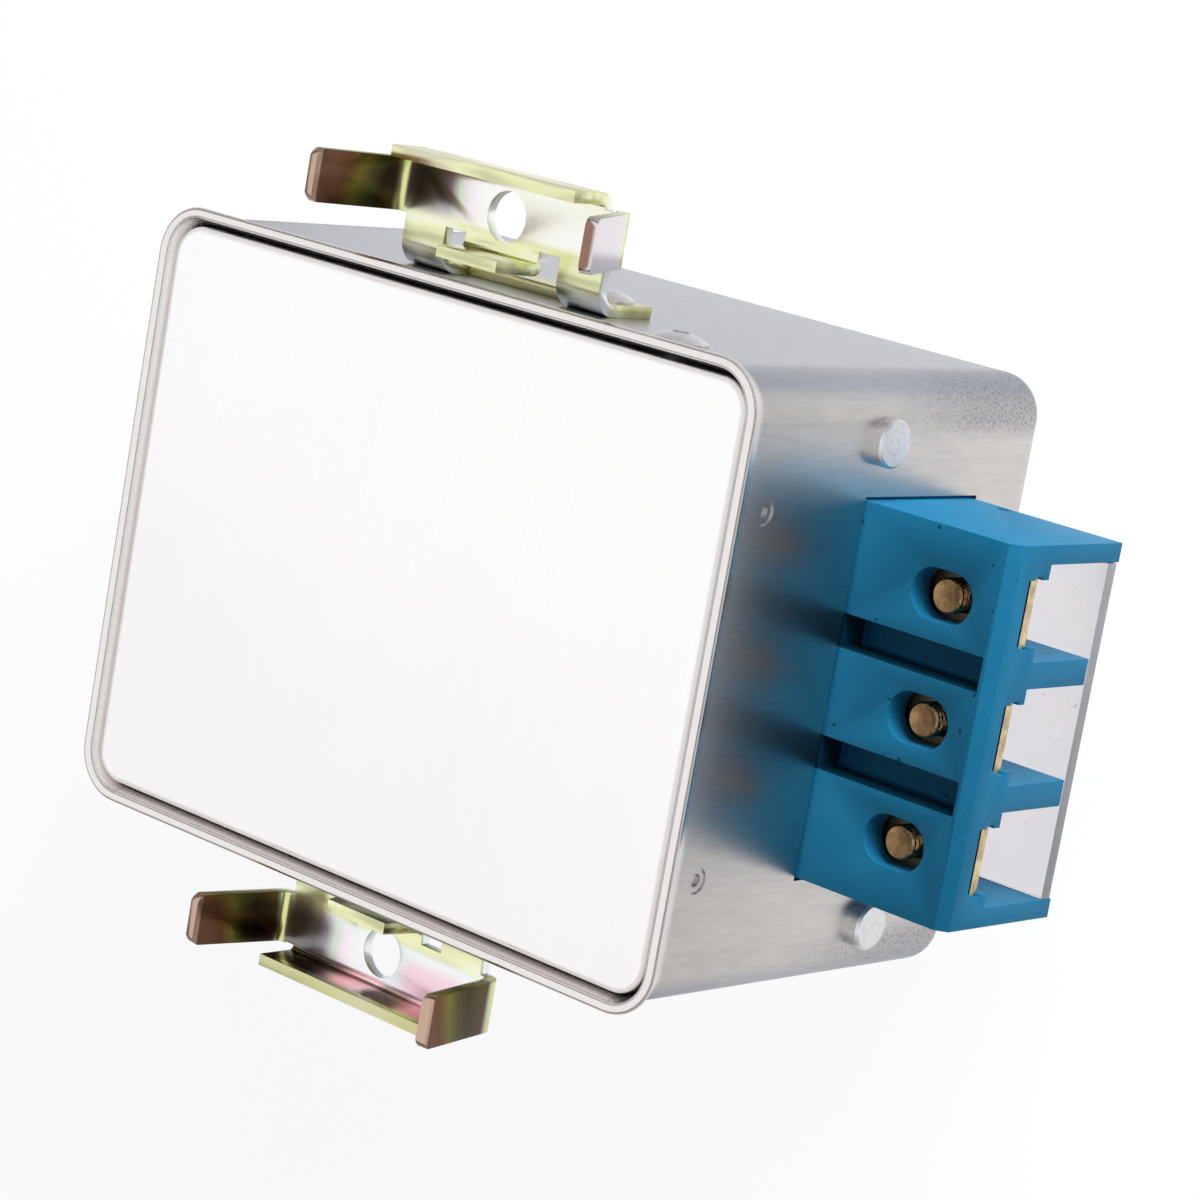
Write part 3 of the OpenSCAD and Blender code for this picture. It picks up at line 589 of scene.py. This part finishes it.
def paint_metal(name, tint, rough, grain_scale, stretch=(1, 1, 1), depth=0.004, shade_up_down=1.0):
    """A worked metal with patchy tone and a directed grain, and painted shade that darkens what
    faces up or down.
    """
    paint = Paint(name, Metallic=1.0)
    grain = paint.noise(grain_scale, stretch=stretch, detail=4.0)
    tone = paint.ease(paint.noise(0.7, detail=3.0, shift=2.0), 0.3, 0.7)
    blend = paint.mix(tone, shade(tint, 0.72), shade(tint, 1.25))
    if shade_up_down < 1:
        # Painted shade on faces that face up or down.
        blend = paint.mix(paint.ease(paint.facing("Z"), 0.6, 0.9), blend, shade(tint, shade_up_down))
    worn = paint.ease(grain, 0.5, 0.75) * 0.3
    paint.set("Base Color", paint.mix(worn, blend, shade(tint, 0.55)))
    paint.set("Roughness", rough + grain * 0.16)
    paint.bump(grain + tone, depth)
    return paint.material


def paint_coat(name, tint, rough, spots=None, scale=0.6, depth=0.01):
    """A moulded, lacquered or extruded coat with uneven tone."""
    paint = Paint(name)
    tone = paint.noise(scale, detail=3.0)
    fine = paint.noise(5.0, detail=2.0)
    paint.set("Base Color", paint.mix(tone, shade(tint, 0.82), spots or shade(tint, 1.15)))
    paint.set("Roughness", rough + fine * 0.12)
    paint.bump(tone + fine * 0.5, depth)
    return paint.material


def paint_board():
    """Solder mask over glass fibre, with wide copper areas showing as lighter fields."""
    paint = Paint("board_mask")
    fields = paint.ease(paint.noise(0.09, detail=0.0, shift=4.0), 0.49, 0.51)
    weave = paint.noise(2.4, stretch=(1.0, 0.2, 1.0), detail=2.0)
    tint = paint.mix(fields, (0.02, 0.16, 0.06), (0.05, 0.27, 0.10))
    paint.set("Base Color", paint.mix(weave * 0.2, tint, (0.10, 0.30, 0.14)))
    paint.set("Roughness", 0.34 + weave * 0.12)
    paint.bump(fields + weave * 0.2, 0.03)
    return paint.material


def wear(piece, material):
    """Puts one material on every slot of a piece."""
    if not piece.material_slots:
        piece.data.materials.append(material)
    for holder in piece.material_slots:
        holder.material = material


def deselect():
    """Leaves edit mode and deselects everything."""
    if bpy.context.object and bpy.context.object.mode != "OBJECT":
        bpy.ops.object.mode_set(mode="OBJECT")
    bpy.ops.object.select_all(action="DESELECT")


def take(piece):
    """Makes a piece the one that operators act on."""
    deselect()
    piece.select_set(True)
    bpy.context.view_layer.objects.active = piece


def edit(piece):
    """Opens a piece in edit mode with nothing selected."""
    take(piece)
    bpy.ops.object.mode_set(mode="EDIT")
    bpy.ops.mesh.select_mode(type="FACE")
    bpy.ops.mesh.select_all(action="DESELECT")


def pick(piece, test):
    """Selects the faces of a piece in edit mode that pass a test of centre and normal."""
    bpy.ops.mesh.select_all(action="DESELECT")
    mesh = bmesh.from_edit_mesh(piece.data)
    for face in mesh.faces:
        face.select_set(test(face.calc_center_median(), face.normal))
    mesh.select_flush_mode()
    bmesh.update_edit_mesh(piece.data)


def apply(piece, kind, **settings):
    """Adds a modifier with its settings and applies it."""
    take(piece)
    modifier = piece.modifiers.new(kind.title(), kind)
    for key, value in settings.items():
        setattr(modifier, key, value)
    bpy.ops.object.modifier_apply(modifier=modifier.name)


def settle(piece, name, material, node):
    """Puts a finished piece's place into its mesh, names it and fixes it to the filter."""
    take(piece)
    bpy.ops.object.transform_apply(location=True, rotation=True, scale=True)
    piece.name = name
    piece.data.name = name
    wear(piece, material)
    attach(piece, "root")
    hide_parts(node)
    return piece


def rounded_copy(node, material, width):
    """A copy of a rigid node whose sharp edges are rounded, in place of the node."""
    source = frame["nodes"][node]
    take(source)
    bpy.ops.object.duplicate()
    piece = bpy.context.object
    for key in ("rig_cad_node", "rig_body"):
        if key in piece:
            del piece[key]
    piece.parent = None
    edit(piece)
    bpy.ops.mesh.select_all(action="SELECT")
    bpy.ops.mesh.remove_doubles(threshold=1e-6)
    bpy.ops.mesh.dissolve_limited(angle_limit=math.radians(0.5))
    bpy.ops.object.mode_set(mode="OBJECT")
    if piece.data.has_custom_normals:
        bpy.ops.mesh.customdata_custom_splitnormals_clear()
    apply(
        piece, "BEVEL", width=width, segments=2, limit_method="ANGLE",
        angle_limit=math.radians(32), use_clamp_overlap=True, harden_normals=False,
    )
    take(piece)
    bpy.ops.object.shade_smooth_by_angle(angle=math.radians(40))
    return settle(piece, node + "_finished", material, node)


class FILTER_OT_case(bpy.types.Operator):
    """Finish the drawn case and the base plate"""

    bl_idname = "filter.case"
    bl_label = "Case and base plate"

    def execute(self, context):
        finish = context.scene.filter_finish
        wear(frame["nodes"]["case"], paint_case_steel(finish))
        wear(frame["nodes"]["base_plate"], paint_plate_steel(finish))
        return {"FINISHED"}


class FILTER_OT_clips(bpy.types.Operator):
    """Finish the two rail clips with rounded sheet edges and passivate"""

    bl_idname = "filter.clips"
    bl_label = "Rail clips"

    def execute(self, context):
        scene = context.scene
        material = paint_passivate(scene.filter_finish)
        for node in CLIPS:
            rounded_copy(node, material, scene.filter_detail.sheet_edge)
        return {"FINISHED"}


class FILTER_OT_rivets(bpy.types.Operator):
    """Finish the rivets and the clamping washers"""

    bl_idname = "filter.rivets"
    bl_label = "Rivets and washers"

    def execute(self, context):
        material = paint_rivet_steel(context.scene.filter_finish)
        for node in ("clip_rivets", "plate_rivets", "block_rivets", "line_washers", "load_washers"):
            wear(frame["nodes"][node], material)
        return {"FINISHED"}


class FILTER_OT_blocks(bpy.types.Operator):
    """Finish the two terminal blocks with rounded moulded edges"""

    bl_idname = "filter.blocks"
    bl_label = "Terminal blocks"

    def execute(self, context):
        detail = context.scene.filter_detail
        material = paint_blue_plastic(context.scene.filter_finish, detail)
        for side in SIDES:
            rounded_copy(side + "_block", material, detail.plastic_edge)
        return {"FINISHED"}


class FILTER_OT_covers(bpy.types.Operator):
    """Finish the two clear covers"""

    bl_idname = "filter.covers"
    bl_label = "Clear covers"

    def execute(self, context):
        finish = context.scene.filter_finish
        width = context.scene.filter_detail.cover_edge
        clear = paint_clear_plastic(finish)
        rim = paint_frosted_rim(finish)
        for side in SIDES:
            piece = rounded_copy(side + "_cover", clear, width)
            reach = max(abs(corner[0]) for corner in piece.bound_box)
            piece.data.materials.append(rim)
            for face in piece.data.polygons:
                if abs(face.normal.x) > 0.9 and abs(face.center.x) > reach - 0.5 * MM:
                    face.material_index = 1
        return {"FINISHED"}


def threaded_screw(detail, bottom, top):
    """One screw on the z axis, its head at the bottom and its threaded tip at the top."""
    radius = detail.screw_diameter / 2
    depth = 0.6 * detail.screw_pitch
    neck = bottom + detail.screw_head_height
    shank_top = top - TIP_CHAMFER
    shank = shank_top - neck
    deselect()
    bpy.ops.mesh.primitive_cylinder_add(
        vertices=detail.thread_sides, radius=radius, depth=shank,
        location=(0, 0, neck + shank / 2),
    )
    piece = bpy.context.object
    bpy.ops.object.transform_apply(location=True, rotation=True, scale=True)
    edit(piece)
    bpy.ops.mesh.select_mode(type="EDGE")
    mesh = bmesh.from_edit_mesh(piece.data)
    for rail in mesh.edges:
        rail.select_set(abs(rail.verts[0].co.z - rail.verts[1].co.z) > shank / 2)
    bmesh.update_edit_mesh(piece.data)
    bpy.ops.mesh.subdivide(number_cuts=CUTS_PER_PITCH * round(shank / detail.screw_pitch))
    mesh = bmesh.from_edit_mesh(piece.data)
    for vertex in mesh.verts:
        if min(vertex.co.z - neck, shank_top - vertex.co.z) < detail.screw_pitch / 3:
            continue
        turn = math.atan2(vertex.co.y, vertex.co.x) / (2 * math.pi)
        phase = (vertex.co.z / detail.screw_pitch - turn) % 1.0
        shrink = 1 - depth * (1 - abs(2 * phase - 1)) / radius
        vertex.co.x *= shrink
        vertex.co.y *= shrink
    bmesh.update_edit_mesh(piece.data)
    bpy.ops.mesh.select_mode(type="FACE")
    pick(piece, lambda centre, normal: normal.z > 0.9 and centre.z > shank_top - 1e-6)
    bpy.ops.mesh.extrude_region_move(TRANSFORM_OT_translate={"value": (0, 0, TIP_CHAMFER)})
    draw_in = (radius - TIP_CHAMFER) / radius
    bpy.ops.transform.resize(value=(draw_in, draw_in, 1))
    for inset, sink in TIP_RINGS:
        bpy.ops.mesh.inset(thickness=inset)
        bpy.ops.transform.translate(value=(0, 0, -sink))
    head = detail.screw_head / 2
    pick(piece, lambda centre, normal: normal.z < -0.9 and centre.z < neck + 1e-6)
    bpy.ops.mesh.extrude_region_move()
    bpy.ops.transform.resize(value=(head / radius, head / radius, 1))
    for share, draw_in in HEAD_RINGS:
        bpy.ops.mesh.extrude_region_move(
            TRANSFORM_OT_translate={"value": (0, 0, -share * detail.screw_head_height)}
        )
        bpy.ops.transform.resize(value=(draw_in, draw_in, 1))
    bpy.ops.object.mode_set(mode="OBJECT")
    for turn in (0, math.pi / 2):
        deselect()
        bpy.ops.mesh.primitive_cube_add(size=1, location=(0, 0, bottom), rotation=(0, 0, turn))
        cutter = bpy.context.object
        cutter.scale = (1.3 * head, CROSS_WIDTH, detail.screw_head_height)
        apply(piece, "BOOLEAN", object=cutter, operation="DIFFERENCE", solver="EXACT")
        bpy.data.objects.remove(cutter)
    take(piece)
    bpy.ops.object.shade_smooth_by_angle(angle=math.radians(28))
    return piece


class FILTER_OT_screws(bpy.types.Operator):
    """Make the threaded terminal screws with crossed heads"""

    bl_idname = "filter.screws"
    bl_label = "Terminal screws"

    def execute(self, context):
        scene = context.scene
        detail = scene.filter_detail
        tint = scene.filter_finish.screw_brass
        material = paint_metal("screw_brass", tint, 0.18, 2.5, depth=0.05)
        for side in SIDES:
            low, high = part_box(side + "_screws")
            pitch = terminal_pitch(side, detail)
            middle = (low + high) / 2
            one = threaded_screw(detail, low.z, high.z)
            row = []
            for place in (-1, 0, 1):
                copy = one.copy()
                copy.data = one.data.copy()
                scene.collection.objects.link(copy)
                turn = Matrix.Rotation(math.radians(25 + 40 * place), 4, "Z")
                shift = Matrix.Translation((middle.x, middle.y + place * pitch, 0))
                copy.data.transform(shift @ turn)
                row.append(copy)
            bpy.data.objects.remove(one)
            take(row[0])
            for copy in row[1:]:
                copy.select_set(True)
            bpy.ops.object.join()
            settle(row[0], side + "_screws_threaded", material, side + "_screws")
        return {"FINISHED"}


class FILTER_OT_terminals(bpy.types.Operator):
    """Finish the terminal plates and the earth tags"""

    bl_idname = "filter.terminals"
    bl_label = "Terminal plates"

    def execute(self, context):
        tint = context.scene.filter_finish.plate_brass
        # Painted shade: the plates' up and down faces are darkened, as they lie in shade inside the
        # blocks.
        material = paint_metal("terminal_brass", tint, 0.34, 1.6, (1.0, 1.0, 6.0), shade_up_down=0.30)
        for node in ("line_terminals", "load_terminals", "earth_tags"):
            wear(frame["nodes"][node], material)
        return {"FINISHED"}


class FILTER_OT_inner(bpy.types.Operator):
    """Finish the board, the choke, the capacitors and the wires inside the case"""

    bl_idname = "filter.inner"
    bl_label = "Inner parts"

    def execute(self, context):
        nodes = frame["nodes"]
        wear(nodes["circuit_board"], paint_board())
        nylon = paint_coat("nylon", (0.80, 0.78, 0.70), 0.42)
        copper = paint_metal("enamelled_copper", (0.66, 0.30, 0.12), 0.20, 4.0)
        yellow = paint_coat("capacitor_yellow", (0.78, 0.52, 0.09), 0.30)
        red = paint_coat("wire_red", (0.45, 0.03, 0.02), 0.40)
        green = paint_coat("wire_green", (0.10, 0.38, 0.06), 0.40, (0.70, 0.62, 0.05), 0.25)
        for node, material in (
            ("board_spacers", nylon),
            ("choke_base", nylon),
            ("choke_core", paint_coat("ferrite", (0.05, 0.05, 0.055), 0.50, depth=0.03)),
            ("line_winding", copper),
            ("neutral_winding", copper),
            ("line_x_capacitor", yellow),
            ("load_x_capacitor", yellow),
            ("y_capacitors", paint_coat("capacitor_blue", (0.03, 0.12, 0.42), 0.32)),
            ("bleed_resistor", paint_coat("resistor_tan", (0.60, 0.44, 0.24), 0.35)),
            ("line_wires", red),
            ("load_wires", red),
            ("earth_wires", green),
        ):
            wear(nodes[node], material)
        return {"FINISHED"}


def soft_lamp(name, place, aim, size, power):
    """A square area lamp that looks at a point and is hidden from gloss."""
    data = bpy.data.lights.new(name, "AREA")
    data.size = size
    data.energy = power
    lamp = bpy.data.objects.new(name, data)
    bpy.context.scene.collection.objects.link(lamp)
    lamp.location = place
    lamp.visible_glossy = False
    lamp.rotation_euler = (Vector(aim) - Vector(place)).to_track_quat("-Z", "Y").to_euler()


def studio_floor():
    """A wide pale floor that shows nearly white and keeps a soft shadow.

    Gloss sees it glow bright by the case and dim farther out: painted reflected light on the metal.
    """
    deselect()
    bpy.ops.mesh.primitive_plane_add(size=6, location=(0, 0, 0))
    floor = bpy.context.object
    floor.name = "studio_floor"
    paint = Paint("pale_floor", Roughness=0.8, Specular_IOR_Level=0.0)
    tone = paint.noise(0.01, detail=2.0)
    paint.set("Base Color", paint.mix(tone, (0.90, 0.90, 0.90), (0.92, 0.92, 0.92)))
    beyond = abs(paint.axis("X")) - PATCH_X
    beyond = beyond.over(abs(paint.axis("Y")) - PATCH_Y)
    near = 1 - paint.ease(beyond, *PATCH_FADE)
    seen = paint.ray("Camera").over(paint.ray("Transmission"))
    light = {"Color": (*WHITE, 1.0), "Strength": GLOW_STRENGTH}
    glow = paint.add("ShaderNodeEmission", None, light)
    surface = Signal(paint, paint.shader.outputs[0])
    # Painted reflected light: gloss sees the floor glow, brighter near the case.
    mirrored = paint.ray("Glossy") * (GLOW_FAR + near * (GLOW_NEAR - GLOW_FAR))
    cover = (seen * GLOW_SEEN).over(mirrored)
    blend = paint.add("ShaderNodeMixShader", None, {0: cover, 1: surface, 2: glow})
    sheet = next(n for n in paint.tree.nodes if n.type == "OUTPUT_MATERIAL")
    paint.tree.links.new(blend.socket, sheet.inputs["Surface"])
    wear(floor, paint.material)


def studio_sky(strength):
    """A sky that is white to the camera, to gloss and through glass, and dimmer to matt surfaces.

    Gloss sees it fall off toward the horizon, and warmer there.
    """
    world = bpy.data.worlds.new("studio_sky")
    bpy.context.scene.world = world
    world.use_nodes = True
    world.node_tree.nodes.clear()
    sky = Nodes(world.node_tree)
    height = sky.part(sky.add("ShaderNodeTexCoord", output="Generated"), "Z")
    high = sky.ease(height, *HORIZON_RISE)
    clear = sky.ray("Camera").over(sky.ray("Transmission"))
    mirrored = sky.ray("Glossy") * (HORIZON_LEVEL + high * (1 - HORIZON_LEVEL))
    level = clear.over(mirrored).over(strength)
    tint = sky.mix(high.over(1 - sky.ray("Glossy")), HORIZON_TINT, WHITE)
    background = sky.add("ShaderNodeBackground", None, {"Color": tint, "Strength": level})
    output = world.node_tree.nodes.new("ShaderNodeOutputWorld")
    world.node_tree.links.new(background.socket, output.inputs["Surface"])


class FILTER_OT_stage(bpy.types.Operator):
    """Lay the floor and set the lamps, the sky and the camera"""

    bl_idname = "filter.stage"
    bl_label = "Studio"

    def execute(self, context):
        scene = context.scene
        studio = scene.filter_studio
        studio_floor()
        studio_sky(studio.sky)
        aim = studio.camera_aim
        soft_lamp("key", KEY_PLACE, aim, KEY_SIZE, studio.key_power)
        soft_lamp("fill", FILL_PLACE, aim, FILL_SIZE, studio.fill_power)
        data = bpy.data.cameras.new("camera")
        data.sensor_width = 36
        data.lens = studio.lens
        data.clip_start = 0.01
        camera = bpy.data.objects.new("camera", data)
        scene.collection.objects.link(camera)
        camera.location = studio.camera_place
        look = (Vector(aim) - camera.location).normalized()
        turn = look.to_track_quat("-Z", "Y")
        camera.rotation_mode = "QUATERNION"
        camera.rotation_quaternion = (
            Matrix.Rotation(-studio.camera_roll, 3, look).to_quaternion() @ turn
        )
        scene.camera = camera
        scene.view_settings.view_transform = "Standard"
        return {"FINISHED"}


STEPS = (
    FILTER_OT_stage,
    FILTER_OT_case,
    FILTER_OT_clips,
    FILTER_OT_rivets,
    FILTER_OT_blocks,
    FILTER_OT_covers,
    FILTER_OT_screws,
    FILTER_OT_terminals,
    FILTER_OT_inner,
)


class FILTER_PT_panel(bpy.types.Panel):
    """Lists the steps that dress the line filter"""

    bl_idname = "FILTER_PT_panel"
    bl_label = "Line Filter"
    bl_space_type = "VIEW_3D"
    bl_region_type = "UI"
    bl_category = "Line Filter"

    def draw(self, context):
        scene = context.scene
        for step in STEPS:
            self.layout.operator(step.bl_idname)
        for group in (scene.filter_finish, scene.filter_detail, scene.filter_studio):
            box = self.layout.box()
            for name in group.__annotations__:
                box.prop(group, name)


CLASSES = (FilterFinish, FilterDetail, FilterStudio, *STEPS, FILTER_PT_panel)


def register():
    """Registers the classes and their settings on the scene."""
    for kind in CLASSES:
        bpy.utils.register_class(kind)
    bpy.types.Scene.filter_finish = PointerProperty(type=FilterFinish)
    bpy.types.Scene.filter_detail = PointerProperty(type=FilterDetail)
    bpy.types.Scene.filter_studio = PointerProperty(type=FilterStudio)


def unregister():
    """Removes the settings and the classes."""
    del bpy.types.Scene.filter_finish
    del bpy.types.Scene.filter_detail
    del bpy.types.Scene.filter_studio
    for kind in reversed(CLASSES):
        bpy.utils.unregister_class(kind)


def main():
    """Dresses the filter step by step."""
    register()
    for step in STEPS:
        group, name = step.bl_idname.split(".")
        getattr(getattr(bpy.ops, group), name)()


if __name__ == "__main__":
    main()
